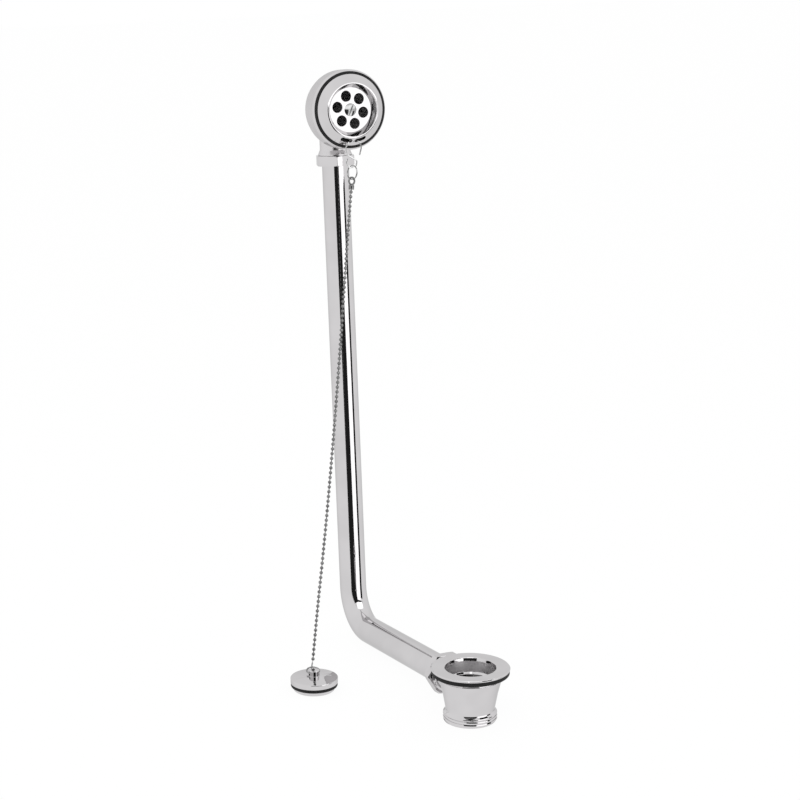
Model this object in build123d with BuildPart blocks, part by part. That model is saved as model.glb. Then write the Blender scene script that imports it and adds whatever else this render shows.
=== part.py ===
"""Bath waste and overflow: chromed waste, bent overflow tube, overflow head, plug on a bead chain.

Millimetres, +Z up. The origin is on the waste axis, in the plane where the waste flange seats on
the bath. The overflow tube runs back along +Y and up, and the overflow face looks along -Y.
"""

import os
from math import atan, cos, degrees, radians, sin, tan

from build123d import *

os.makedirs("parts", exist_ok=True)

# Waste
flange_diameter = 70.0
flange_thickness = 1.5
lip_diameter = 46.0
lip_depth = 2.8
lip_round = 0.5
seat_diameter = 44.0
ledge_diameter = 41.2
ledge_depth = 11.0
throat_diameter = 37.0
tail_diameter = 47.8
tail_length = 13.2
waste_seal_inset = 0.5
waste_seal_thickness = 4.0
body_rim_diameter = 57.0
body_rim_height = 2.5
waist_diameter = 43.2
waist_depth = 37.2
bell_diameter = 49.0
bell_depth = 21.5
outlet_thread_diameter = 47.8
outlet_thread_length = 7.6
outlet_drop = 47.2
outlet_bore = 38.0

# Overflow tube and its two compression joints
tube_diameter = 25.4
tube_wall = 1.0
tube_tilt = 4.9
arm_drop = 16.8
arm_reach = 245.0
riser_rise = 496.0
bend_radius = 36.0
waste_mouth = 48.3
overflow_mouth = 48.4
socket_wall = 2.2
socket_depth = 15.0
neck_wall = 1.3
collar_height = 1.2
collar_step = 0.7
collar_flare = 4.0
thread_engagement = 5.0
nut_wall = 1.85
nut_lip = 1.7
nut_chamfer = 0.8
overflow_nut_turn = 48.0
waste_nut_turn = 0.0
slip_washer_thickness = 0.8
compression_ring_thickness = 2.0

# Overflow head, with depths measured forward from the tube's axis
cup_diameter = 72.6
cup_wall = 3.0
cup_shoulder = 16.0
cup_shoulder_ease = 4.0
cup_back = 14.4
cup_back_diameter = 30.0
cup_back_ease = 1.6
rim_step = 0.5
rim_back = 30.4
rim_front = 37.6
rim_bevel = 1.9
rim_groove = 1.2
overflow_seal_inset = 2.1
overflow_seal_width = 9.25
overflow_seal_thickness = 0.9
face_diameter = 65.4
face_sheet = 1.4
face_rise = 6.2
face_band = 7.7
mouth_roll = 0.8
grid_diameter = 41.0
grid_depth = 6.8
hole_diameter = 9.9
hole_circle = 26.4
hole_count = 6
hole_turn = 17.0
slot_inset = 4.5
slot_width = 3.2
slot_span = 23.0
slot_bridge = 2.4
screw_diameter = 6.0
screw_head_diameter = 12.6
screw_head_rise = 1.3
screw_slot_width = 1.7
screw_slot_depth = 1.8
screw_slot_turn = 65.0
screw_length = 26.0
screw_tip_room = 1.0
boss_diameter = 11.0
boss_gap = 7.0

# Chain, hook and plug
wire_diameter = 1.3
wire_sides = 6
eye_drop = 24.1
eye_rest_side = -2.0
split_ring_diameter = 13.8
split_ring_turn = 73.5
chain_top_lean = 13.0
chain_foot_lean = 36.0
chain_heading = 40.8
chain_bend_share = 0.45
eyelet_diameter = 8.2
eyelet_hole = 4.8
eyelet_thickness = 1.2
coupling_diameter = 5.0
coupling_length = 4.2
coupling_wall = 0.5
coupling_sides = 12
bead_diameter = 3.2
bead_length = 3.0
bead_pitch = 4.4
chain_wire_diameter = 0.9
end_link_wire = 0.9
end_link_length = 6.4
end_link_width = 3.6
end_link_bend_share = 0.98
plug_place = (-95.6, 123.5)
plug_diameter = 43.2
plug_thickness = 4.9
plug_edge_round = 1.6
plug_crown = 1.2
post_diameter = 9.8
post_height = 5.3
post_edge_round = 0.4
post_hole_diameter = 4.3
post_hole_height = 2.35
plug_seal_diameter = 42.6
plug_seal_thickness = 3.3
plug_base_diameter = 37.3
plug_base_thickness = 3.6
plug_base_chamfer = 0.5
plug_stud_diameter = 12.0
plug_screw_diameter = 5.0
plug_screw_head_diameter = 10.0
plug_screw_length = 9.0
plug_screw_head_depth = 2.4
plug_ring_diameter = 12.8
plug_ring_lean = 11.0
plug_turn = -10.0

# Clearances between pieces that fit together
thread_clearance = 0.1
tube_clearance = 0.15
seal_clearance = 0.3
link_clearance = 0.15

# Directions: along the arm, up the riser and out of the overflow face
arm_way = Vector(0, cos(radians(tube_tilt)), -sin(radians(tube_tilt)))
riser_way = Vector(0, sin(radians(tube_tilt)), cos(radians(tube_tilt)))
face_way = Vector(0, -cos(radians(tube_tilt)), sin(radians(tube_tilt)))
side_way = Vector(1, 0, 0)
arm_start = Vector(0, 0, -arm_drop)
bend_corner = arm_start + arm_way * arm_reach
head = bend_corner + riser_way * riser_rise

# Planes: the arm's section, the overflow face seen from the front and the overflow head's section
arm_section = Plane(arm_start, x_dir=side_way, z_dir=riser_way)
face_plane = Plane(head, x_dir=side_way, z_dir=face_way)
head_section = Plane(head, x_dir=side_way, z_dir=-riser_way)

# Radii shared by the two compression joints
tube_radius = tube_diameter / 2
socket_radius = tube_radius + tube_clearance
thread_radius = socket_radius + socket_wall
collar_radius = thread_radius + collar_step
neck_radius = tube_radius + neck_wall
port_radius = tube_radius - tube_wall
nut_bore_radius = thread_radius + thread_clearance
nut_radius = nut_bore_radius + nut_wall
nut_length = nut_lip + slip_washer_thickness + compression_ring_thickness + thread_engagement


# Waste body: cast bell with a rim under the seal, a side socket and the outlet thread
body_top = -waste_seal_thickness
outlet_radius = outlet_thread_diameter / 2
outlet_end = -outlet_drop
thread_top = outlet_end + outlet_thread_length
bell_top = body_top - body_rim_height
tail_bore_radius = tail_diameter / 2 + thread_clearance
tail_bore_end = -tail_length - seal_clearance
neck_start = ledge_diameter / 2

with BuildPart() as waste_body:
    with BuildSketch(Plane.XZ):
        with BuildLine():
            Polyline(
                (0, body_top),
                (body_rim_diameter / 2, body_top),
                (body_rim_diameter / 2, bell_top),
                (bell_diameter / 2, -bell_depth),
                (waist_diameter / 2, -waist_depth),
                (outlet_radius, thread_top),
                (outlet_radius, outlet_end),
                (0, outlet_end),
                close=True,
            )
        make_face()
    revolve(axis=Axis.Z)
    with BuildSketch(arm_section):
        with BuildLine():
            Polyline(
                (0, neck_start),
                (neck_radius, neck_start),
                (neck_radius, waste_mouth - thread_engagement - collar_height - collar_step),
                (collar_radius, waste_mouth - thread_engagement - collar_height),
                (collar_radius, waste_mouth - thread_engagement),
                (thread_radius, waste_mouth - thread_engagement),
                (thread_radius, waste_mouth),
                (0, waste_mouth),
                close=True,
            )
        make_face()
    revolve(axis=Axis(arm_start, arm_way))
    with BuildSketch(Plane.XZ):
        with BuildLine():
            Polyline(
                (0, body_top),
                (tail_bore_radius, body_top),
                (tail_bore_radius, tail_bore_end),
                (ledge_diameter / 2, tail_bore_end),
                (outlet_bore / 2, -waist_depth),
                (outlet_bore / 2, outlet_end),
                (0, outlet_end),
                close=True,
            )
        make_face()
    revolve(axis=Axis.Z, mode=Mode.SUBTRACT)
    with BuildSketch(arm_section):
        with BuildLine():
            Polyline(
                (0, 0),
                (port_radius, 0),
                (port_radius, waste_mouth - socket_depth),
                (socket_radius, waste_mouth - socket_depth),
                (socket_radius, waste_mouth),
                (0, waste_mouth),
                close=True,
            )
        make_face()
    revolve(axis=Axis(arm_start, arm_way), mode=Mode.SUBTRACT)
waste_body.part.label = "waste_body"
export_step(waste_body.part, "parts/waste_body.step")


# Waste seal: rubber ring clamped under the flange
with BuildPart() as waste_seal:
    with BuildSketch(Plane.XY.offset(body_top)):
        Circle(flange_diameter / 2 - waste_seal_inset)
        Circle(tail_diameter / 2 + seal_clearance, mode=Mode.SUBTRACT)
    extrude(amount=waste_seal_thickness)
waste_seal.part.label = "waste_seal"
export_step(waste_seal.part, "parts/waste_seal.step")


# Waste flange: turned brass, with the tapered plug seat and the tail that screws into the body
with BuildPart() as waste_flange:
    with BuildSketch(Plane.XZ):
        with BuildLine():
            Polyline(
                (seat_diameter / 2, flange_thickness - lip_depth),
                (lip_diameter / 2 - lip_round, flange_thickness - lip_round / 2),
                (lip_diameter / 2, flange_thickness),
                (flange_diameter / 2 - flange_thickness / 2, flange_thickness),
                (flange_diameter / 2, flange_thickness / 2),
                (flange_diameter / 2, 0),
                (tail_diameter / 2, 0),
                (tail_diameter / 2, -tail_length),
                (throat_diameter / 2, -tail_length),
                (ledge_diameter / 2, -ledge_depth),
                close=True,
            )
        make_face()
    revolve(axis=Axis.Z)
waste_flange.part.label = "waste_flange"
export_step(waste_flange.part, "parts/waste_flange.step")


# Overflow tube: one tube bent once, seated in the waste socket and in the overflow spigot
tube_foot = arm_start + arm_way * (waste_mouth - socket_depth + seal_clearance)
tube_head = head - riser_way * (overflow_mouth - socket_depth + seal_clearance)
with BuildPart() as overflow_tube:
    with BuildLine() as tube_path:
        FilletPolyline(tube_foot, bend_corner, tube_head, radius=bend_radius)
    with BuildSketch(Plane(tube_foot, x_dir=side_way, z_dir=arm_way)):
        Circle(tube_radius)
        Circle(tube_radius - tube_wall, mode=Mode.SUBTRACT)
    sweep()
overflow_tube.part.label = "overflow_tube"
export_step(overflow_tube.part, "parts/overflow_tube.step")


# Overflow body: cast cup with a rim, a coned back, the threaded spigot and the screw boss
back_radius = cup_back_diameter / 2
groove_radius = cup_diameter / 2 - rim_groove / 2
rim_radius = cup_diameter / 2 + rim_step
cup_slope = (cup_diameter / 2 - back_radius) / (cup_shoulder + cup_back)
shoulder_radius = cup_diameter / 2 - cup_slope * cup_shoulder_ease
cavity_radius = cup_diameter / 2 - cup_wall
grid_front = rim_front + overflow_seal_thickness + face_rise + face_sheet - grid_depth
boss_front = grid_front - face_sheet - boss_gap
boss_radius = boss_diameter / 2
screw_tip = grid_front - screw_length
with BuildPart() as overflow_body:
    with BuildSketch(head_section):
        with BuildLine():
            Polyline(
                (cup_diameter / 2, rim_back - rim_groove),
                (cup_diameter / 2, cup_shoulder + cup_shoulder_ease),
                (shoulder_radius, cup_shoulder - cup_shoulder_ease),
                (back_radius + cup_back_ease, 2 * cup_back_ease - cup_back),
                (back_radius - cup_back_ease, -cup_back),
                (0, -cup_back),
                (0, rim_front),
                (rim_radius - rim_bevel, rim_front),
                (rim_radius, rim_front - rim_bevel),
                (rim_radius, rim_back),
                (groove_radius, rim_back - rim_groove / 2),
                close=True,
            )
        make_face()
    revolve(axis=Axis(head, face_way))
    with BuildSketch(face_plane):
        with BuildLine():
            Polyline(
                (0, 0),
                (neck_radius, 0),
                (neck_radius, -(overflow_mouth - thread_engagement - collar_height - collar_flare)),
                (collar_radius, -(overflow_mouth - thread_engagement - collar_height)),
                (collar_radius, -(overflow_mouth - thread_engagement)),
                (thread_radius, -(overflow_mouth - thread_engagement)),
                (thread_radius, -overflow_mouth),
                (0, -overflow_mouth),
                close=True,
            )
        make_face()
    revolve(axis=Axis(head, riser_way))
    with BuildSketch(head_section):
        with BuildLine():
            Polyline(
                (0, rim_front),
                (cavity_radius, rim_front),
                (cavity_radius, cup_shoulder),
                (back_radius - cup_wall / 2, cup_wall - cup_back),
                (0, cup_wall - cup_back),
                close=True,
            )
        make_face()
    revolve(axis=Axis(head, face_way), mode=Mode.SUBTRACT)
    with BuildSketch(face_plane):
        with BuildLine():
            Polyline(
                (0, 0),
                (port_radius, 0),
                (port_radius, socket_depth - overflow_mouth),
                (socket_radius, socket_depth - overflow_mouth),
                (socket_radius, -overflow_mouth),
                (0, -overflow_mouth),
                close=True,
            )
        make_face()
    revolve(axis=Axis(head, riser_way), mode=Mode.SUBTRACT)
    with BuildSketch(face_plane.offset(cup_wall / 2 - cup_back)):
        Circle(boss_radius)
    extrude(amount=boss_front + cup_back - cup_wall / 2)
    with BuildSketch(face_plane.offset(boss_front)):
        Circle(screw_diameter / 2 + thread_clearance)
    extrude(amount=screw_tip - boss_front - screw_tip_room, mode=Mode.SUBTRACT)
overflow_body.part.label = "overflow_body"
export_step(overflow_body.part, "parts/overflow_body.step")


# Overflow seal: rubber ring between the cup's rim and the face
seal_radius = rim_radius - overflow_seal_inset
with BuildPart() as overflow_seal:
    with BuildSketch(face_plane.offset(rim_front)):
        Circle(seal_radius)
        Circle(seal_radius - overflow_seal_width, mode=Mode.SUBTRACT)
    extrude(amount=overflow_seal_thickness)
overflow_seal.part.label = "overflow_seal"
export_step(overflow_seal.part, "parts/overflow_seal.step")


# Overflow face: sheet pressed to a raised ring with a rolled mouth and a recessed grid
face_back = rim_front + overflow_seal_thickness
mouth_front = face_back + face_rise + face_sheet
face_radius = face_diameter / 2
mouth_radius = face_radius - face_band
grid_back = grid_front - face_sheet
countersink = screw_head_diameter / 2
slot_radius = face_radius - slot_inset
slot_start = degrees((slot_bridge + slot_width) / 2 / slot_radius)
slot_line = CenterArc((0, 0), slot_radius, 270 + slot_start, slot_span - slot_start)
with BuildPart() as overflow_face:
    with BuildSketch(head_section):
        with BuildLine():
            Polyline(
                (0, grid_front),
                (grid_diameter / 2, grid_front),
                (mouth_radius - mouth_roll, mouth_front - mouth_roll),
                (mouth_radius, mouth_front),
                (mouth_radius + mouth_roll, mouth_front - mouth_roll / 2),
                (face_radius, face_back + face_sheet / 2),
                (face_radius, face_back),
                (face_radius - face_sheet, face_back),
                (mouth_radius + mouth_roll / 2, mouth_front - mouth_roll - face_sheet),
                (grid_diameter / 2 + face_sheet, grid_back),
                (0, grid_back),
                close=True,
            )
        make_face()
    revolve(axis=Axis(head, face_way))
    with BuildSketch(face_plane.offset(grid_back)):
        with PolarLocations(hole_circle / 2, hole_count, start_angle=90 + hole_turn):
            Circle(hole_diameter / 2)
    extrude(amount=face_sheet, mode=Mode.SUBTRACT)
    with BuildSketch(head_section):
        with BuildLine():
            Polyline(
                (0, grid_front),
                (countersink, grid_front),
                (countersink - face_sheet, grid_back),
                (0, grid_back),
                close=True,
            )
        make_face()
    revolve(axis=Axis(head, face_way), mode=Mode.SUBTRACT)
    with BuildSketch(face_plane.offset(face_back)):
        SlotArc(arc=slot_line, height=slot_width)
        mirror(about=Plane.YZ)
    extrude(amount=mouth_front - face_back, mode=Mode.SUBTRACT)
overflow_face.part.label = "overflow_face"
export_step(overflow_face.part, "parts/overflow_face.step")


# Overflow screw: raised countersunk head with one slot, through the grid into the boss
shank_radius = screw_diameter / 2
head_radius = countersink - thread_clearance
with BuildPart() as overflow_screw:
    with BuildSketch(head_section):
        with BuildLine():
            Polyline(
                (0, grid_front + screw_head_rise),
                (head_radius / 2, grid_front + screw_head_rise),
                (head_radius, grid_front),
                (shank_radius, grid_front - head_radius + shank_radius),
                (shank_radius, screw_tip),
                (0, screw_tip),
                close=True,
            )
        make_face()
    revolve(axis=Axis(head, face_way))
    with BuildSketch(face_plane.offset(grid_front + screw_head_rise)):
        Rectangle(screw_head_diameter, screw_slot_width, rotation=screw_slot_turn)
    extrude(amount=-screw_slot_depth, mode=Mode.SUBTRACT)
overflow_screw.part.label = "overflow_screw"
export_step(overflow_screw.part, "parts/overflow_screw.step")


# Compression joints: hexagon nut, slip washer and rubber ring where the tube enters each socket
overflow_joint = Plane(head - riser_way * overflow_mouth, x_dir=side_way, z_dir=-riser_way)
waste_joint = Plane(arm_start + arm_way * waste_mouth, x_dir=side_way, z_dir=arm_way)
nut_back = -thread_engagement
nut_front = nut_back + nut_length
nut_corner = nut_radius / cos(radians(30))
nut_face_radius = nut_corner - nut_chamfer / tan(radians(30))
for end, mouth, turn in (
    ("overflow", overflow_joint, overflow_nut_turn),
    ("waste", waste_joint, waste_nut_turn),
):
    with BuildPart() as compression_ring:
        with BuildSketch(mouth):
            Circle(thread_radius)
            Circle(socket_radius, mode=Mode.SUBTRACT)
        extrude(amount=compression_ring_thickness)
    compression_ring.part.label = end + "_compression_ring"
    export_step(compression_ring.part, "parts/" + end + "_compression_ring.step")

    with BuildPart() as slip_washer:
        with BuildSketch(mouth.offset(compression_ring_thickness)):
            Circle(thread_radius)
            Circle(socket_radius, mode=Mode.SUBTRACT)
        extrude(amount=slip_washer_thickness)
    slip_washer.part.label = end + "_slip_washer"
    export_step(slip_washer.part, "parts/" + end + "_slip_washer.step")

    with BuildPart() as nut:
        with BuildSketch(mouth.offset(nut_back)):
            RegularPolygon(nut_radius, 6, major_radius=False, rotation=turn)
        extrude(amount=nut_length)
        with BuildSketch(Plane(mouth.origin, x_dir=mouth.x_dir, z_dir=-mouth.y_dir)):
            with BuildLine():
                Polyline(
                    (0, nut_back),
                    (nut_face_radius, nut_back),
                    (nut_corner, nut_back + nut_chamfer),
                    (nut_corner, nut_front - nut_chamfer),
                    (nut_face_radius, nut_front),
                    (0, nut_front),
                    close=True,
                )
            make_face()
        revolve(axis=Axis(mouth.origin, mouth.z_dir), mode=Mode.INTERSECT)
        with BuildSketch(mouth.offset(nut_back)):
            Circle(nut_bore_radius)
        extrude(amount=nut_length - nut_lip, mode=Mode.SUBTRACT)
        with BuildSketch(mouth.offset(nut_front)):
            Circle(socket_radius)
        extrude(amount=-nut_lip, mode=Mode.SUBTRACT)
    nut.part.label = end + "_nut"
    export_step(nut.part, "parts/" + end + "_nut.step")


# Plug: chromed disc and post over a rubber ring, with a lower disc screwed on from below
plug_floor = Plane((plug_place[0], plug_place[1], outlet_end), x_dir=side_way.rotate(Axis.Z, plug_turn))
plug_section = Plane(plug_floor.origin, x_dir=plug_floor.x_dir, z_dir=-plug_floor.y_dir)
plug_axis = Axis(plug_floor.origin, Vector(0, 0, 1))
plug_seal_foot = plug_base_thickness
plug_foot = plug_seal_foot + plug_seal_thickness
plug_edge = plug_foot + plug_thickness
post_foot = plug_edge + plug_crown
post_top = post_foot + post_height
post_hole = post_foot + post_hole_height
stud_radius = plug_stud_diameter / 2
screw_seat_radius = plug_screw_head_diameter / 2
screw_radius = plug_screw_diameter / 2
screw_hole_radius = screw_radius + thread_clearance
screw_cone_foot = plug_screw_head_depth - screw_seat_radius + screw_hole_radius

with BuildPart() as plug_base:
    with BuildSketch(plug_section):
        with BuildLine():
            Polyline(
                (screw_seat_radius, 0),
                (plug_base_diameter / 2 - plug_base_chamfer, 0),
                (plug_base_diameter / 2, plug_base_chamfer),
                (plug_base_diameter / 2, plug_seal_foot),
                (screw_hole_radius, plug_seal_foot),
                (screw_hole_radius, plug_screw_head_depth),
                (screw_seat_radius, screw_cone_foot),
                close=True,
            )
        make_face()
    revolve(axis=plug_axis)
plug_base.part.label = "plug_base"
export_step(plug_base.part, "parts/plug_base.step")

with BuildPart() as plug_seal:
    with BuildSketch(plug_floor.offset(plug_seal_foot)):
        Circle(plug_seal_diameter / 2)
        Circle(stud_radius + seal_clearance, mode=Mode.SUBTRACT)
    extrude(amount=plug_seal_thickness)
plug_seal.part.label = "plug_seal"
export_step(plug_seal.part, "parts/plug_seal.step")

with BuildPart() as plug_body:
    with BuildSketch(plug_section):
        with BuildLine():
            Polyline(
                (0, plug_seal_foot),
                (stud_radius, plug_seal_foot),
                (stud_radius, plug_foot),
                (plug_diameter / 2, plug_foot),
                (plug_diameter / 2, plug_edge - plug_edge_round),
                (plug_diameter / 2 - plug_edge_round, plug_edge),
                (post_diameter / 2, post_foot),
                (post_diameter / 2, post_top - post_edge_round),
                (post_diameter / 2 - post_edge_round, post_top),
                (0, post_top),
                close=True,
            )
        make_face()
    revolve(axis=plug_axis)
    with BuildSketch(Plane(plug_floor.origin, x_dir=plug_floor.y_dir, z_dir=plug_floor.x_dir)):
        with Locations((0, post_hole)):
            Circle(post_hole_diameter / 2)
    extrude(amount=post_diameter, both=True, mode=Mode.SUBTRACT)
    with BuildSketch(plug_floor.offset(plug_seal_foot)):
        Circle(screw_hole_radius)
    extrude(amount=plug_screw_length - plug_seal_foot + screw_tip_room, mode=Mode.SUBTRACT)
plug_body.part.label = "plug_body"
export_step(plug_body.part, "parts/plug_body.step")

with BuildPart() as plug_screw:
    with BuildSketch(plug_section):
        with BuildLine():
            Polyline(
                (0, screw_cone_foot),
                (screw_seat_radius - thread_clearance, screw_cone_foot),
                (screw_radius, plug_screw_head_depth),
                (screw_radius, plug_screw_length),
                (0, plug_screw_length),
                close=True,
            )
        make_face()
    revolve(axis=plug_axis)
plug_screw.part.label = "plug_screw"
export_step(plug_screw.part, "parts/plug_screw.step")


# Plug ring: wire ring through the post's cross hole, leaning back over the disc
wire_radius = wire_diameter / 2
plug_ring_radius = (plug_ring_diameter - wire_diameter) / 2
hole_centre = plug_floor.from_local_coords(Vector(0, 0, post_hole))
lean_way = plug_floor.y_dir * cos(radians(plug_ring_lean)) + Vector(0, 0, sin(radians(plug_ring_lean)))
mouth_offset = (plug_ring_radius + (plug_ring_radius**2 - (post_diameter / 2) ** 2) ** 0.5) / 2
plug_ring_centre = hole_centre + lean_way * mouth_offset
plug_ring_normal = plug_floor.x_dir.cross(lean_way)
with BuildPart() as plug_ring:
    with BuildSketch(Plane(plug_ring_centre, x_dir=lean_way, z_dir=lean_way.cross(plug_ring_normal))):
        with Locations((plug_ring_radius, 0)):
            RegularPolygon(wire_radius, wire_sides)
    revolve(axis=Axis(plug_ring_centre, plug_ring_normal))
plug_ring.part.label = "plug_ring"
export_step(plug_ring.part, "parts/plug_ring.step")


# Chain hook: bent wire behind the bridge between the two slots, with an eye below the face
ring_slope = face_rise / (face_band - mouth_roll)
slot_front = face_back + face_sheet / 2 + ring_slope * slot_inset
slot_back = slot_front - face_sheet * (1 + ring_slope**2) ** 0.5
behind = slot_back - wire_diameter
before = slot_front + wire_diameter
hang = slot_front
eye_foot = -slot_radius - eye_drop
hook_points = (
    (5.9, -slot_radius - 13.3, hang - 0.8),
    (7.8, -slot_radius - 6.3, hang),
    (6.4, -slot_radius - 1.4, before),
    (3.2, -slot_radius + 0.3, behind),
    (-3.2, -slot_radius + 0.3, behind),
    (-6.6, -slot_radius - 1.4, before),
    (-9.2, -slot_radius - 6.8, hang),
    (-6.2, -slot_radius - 12.8, hang),
    (2.9, -slot_radius - 18.2, hang),
    (1.2, eye_foot, hang),
    (-5.6, eye_foot, hang),
    (-8.3, eye_foot + 4.7, hang),
    (-6.8, eye_foot + 8.5, hang),
)
hook_radii = (6.0, 2.2, 1.2, 1.2, 2.2, 4.5, 4.0, 2.2, 2.4, 2.4, 2.4)
with BuildPart() as chain_hook:
    with BuildLine(face_plane) as hook_path:
        FilletPolyline(*hook_points, radius=hook_radii)
    with BuildSketch(Plane(hook_path.line @ 0, z_dir=hook_path.line % 0)):
        RegularPolygon(wire_radius, wire_sides)
    sweep()
chain_hook.part.label = "chain_hook"
export_step(chain_hook.part, "parts/chain_hook.step")


# Split ring: hangs on the eye's foot
chain_level = Vector(sin(radians(chain_heading)), cos(radians(chain_heading)), 0)
hang_way = chain_level * -sin(radians(chain_top_lean)) - Vector(0, 0, cos(radians(chain_top_lean)))
eye_rest = face_plane.from_local_coords(Vector(eye_rest_side, eye_foot, hang))
ring_radius = (split_ring_diameter - wire_diameter) / 2
ring_centre = eye_rest + hang_way * (ring_radius - wire_diameter - link_clearance)
ring_turned = face_way * cos(radians(split_ring_turn)) - side_way * sin(radians(split_ring_turn))
ring_tangent = hang_way.cross(ring_turned).normalized()
ring_normal = ring_tangent.cross(hang_way)
with BuildPart() as split_ring:
    with BuildSketch(Plane(ring_centre, x_dir=hang_way, z_dir=hang_way.cross(ring_normal))):
        with Locations((ring_radius, 0)):
            RegularPolygon(wire_radius, wire_sides)
    revolve(axis=Axis(ring_centre, ring_normal))
split_ring.part.label = "split_ring"
export_step(split_ring.part, "parts/split_ring.step")


# Chain coupling: stamped eyelet on the ring, with a cup that holds the first bead
eyelet_play = eyelet_hole / 2 - wire_radius - link_clearance
eyelet_centre = ring_centre + hang_way * (ring_radius + eyelet_play)
eyelet_plane = Plane(eyelet_centre, x_dir=hang_way, z_dir=ring_tangent)
cup_top = eyelet_centre + hang_way * (eyelet_diameter / 2 - coupling_wall)
cup_plane = Plane(cup_top, x_dir=ring_tangent, z_dir=hang_way)
with BuildPart() as chain_coupling:
    with BuildSketch(eyelet_plane.offset(-eyelet_thickness / 2)):
        RegularPolygon(eyelet_diameter / 2, coupling_sides)
        RegularPolygon(eyelet_hole / 2, coupling_sides, mode=Mode.SUBTRACT)
    extrude(amount=eyelet_thickness)
    with BuildSketch(cup_plane):
        RegularPolygon(coupling_diameter / 2, coupling_sides)
    extrude(amount=coupling_length)
    with BuildSketch(cup_plane.offset(coupling_wall)):
        RegularPolygon(coupling_diameter / 2 - coupling_wall, coupling_sides)
    extrude(amount=coupling_length, mode=Mode.SUBTRACT)
chain_coupling.part.label = "chain_coupling"
export_step(chain_coupling.part, "parts/chain_coupling.step")


# End link: wire loop that joins the last bead to the plug ring
foot_way = chain_level * sin(radians(chain_foot_lean)) + Vector(0, 0, cos(radians(chain_foot_lean)))
ring_far = plug_ring_centre + lean_way * plug_ring_radius
link_radius = end_link_wire / 2
link_foot = ring_far - foot_way * (wire_radius + end_link_wire + link_clearance)
link_side = (end_link_width - end_link_wire) / 2
link_plane = Plane(link_foot, x_dir=foot_way, z_dir=plug_floor.x_dir.cross(foot_way).cross(foot_way))
with BuildPart() as chain_end_link:
    with BuildLine(link_plane) as link_path:
        FilletPolyline(
            (link_radius, -link_side),
            (end_link_length - link_radius, -link_side),
            (end_link_length - link_radius, link_side),
            (link_radius, link_side),
            radius=end_link_bend_share * link_side,
            close=True,
        )
    with BuildSketch(Plane(link_path.line @ 0, z_dir=link_path.line % 0)):
        RegularPolygon(link_radius, wire_sides)
    sweep()
chain_end_link.part.label = "chain_end_link"
export_step(chain_end_link.part, "parts/chain_end_link.step")


# Bead chain: six-sided beads, each with its wire link, hung from the coupling to the end link
first_bead = cup_top + hang_way * (coupling_wall + bead_length / 2 + link_clearance)
last_bead = link_foot + foot_way * (end_link_length + bead_pitch - bead_length / 2 + link_clearance)
chain_route = (
    first_bead,
    Vector(-12.1, 228.4, 348.4),
    Vector(-18.8, 220.8, 306.1),
    Vector(-26.0, 212.7, 264.0),
    Vector(-33.5, 204.1, 222.0),
    Vector(-41.5, 195.0, 180.2),
    Vector(-50.1, 185.3, 138.7),
    Vector(-59.2, 174.9, 97.4),
    Vector(-69.1, 163.7, 56.5),
    Vector(-79.8, 151.6, 16.1),
    last_bead,
)
chain_radii = []
for before_point, point, after_point in zip(chain_route, chain_route[1:], chain_route[2:]):
    turn = (point - before_point).get_angle(after_point - point)
    shorter_run = min((point - before_point).length, (after_point - point).length)
    chain_radii.append(chain_bend_share * shorter_run / tan(radians(turn / 2)))

with BuildLine() as chain_path:
    FilletPolyline(*chain_route, radius=chain_radii)
chain_wire = chain_path.wires()[0]
bead_count = round(chain_wire.length / bead_pitch) + 1
bead_step = chain_wire.length / (bead_count - 1)
bead_spots = [chain_wire @ (index / (bead_count - 1)) for index in range(bead_count)]
bead_spots.append(last_bead - foot_way * bead_step)
bead_inset = (bead_diameter - chain_wire_diameter) / 2 * cos(radians(180 / wire_sides))
bead_taper = degrees(atan(bead_inset / (bead_length / 2)))
with BuildPart() as bead:
    with BuildSketch(Plane.XY, Plane.XY.rotated((180, 0, 0))):
        RegularPolygon(bead_diameter / 2, wire_sides)
    extrude(amount=bead_length / 2, taper=bead_taper)
    with BuildSketch(Plane.XY.offset(bead_length / 2)):
        RegularPolygon(chain_wire_diameter / 2, wire_sides)
    extrude(amount=bead_step - bead_length)
bead_copies = []
for spot, next_spot in zip(bead_spots, bead_spots[1:]):
    bead_plane = Plane(spot, x_dir=chain_level.cross(Vector(0, 0, 1)), z_dir=next_spot - spot)
    bead_copies.append(bead_plane.location * bead.part)
bead_chain = Compound(label="bead_chain", children=bead_copies)
export_step(bead_chain, "parts/bead_chain.step")
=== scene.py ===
"""Bath waste and overflow: chromed waste, bent overflow tube, overflow head, and a plug on a bead chain.

Metres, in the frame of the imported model. Sizes are written in millimetres, and each piece's place turns
them into metres. The order is the one in which the fitting is put together.
"""

from math import atan2, cos, pi, radians, sin, sqrt, tan

import bmesh
import bpy
from mathutils import Matrix, Vector


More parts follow.
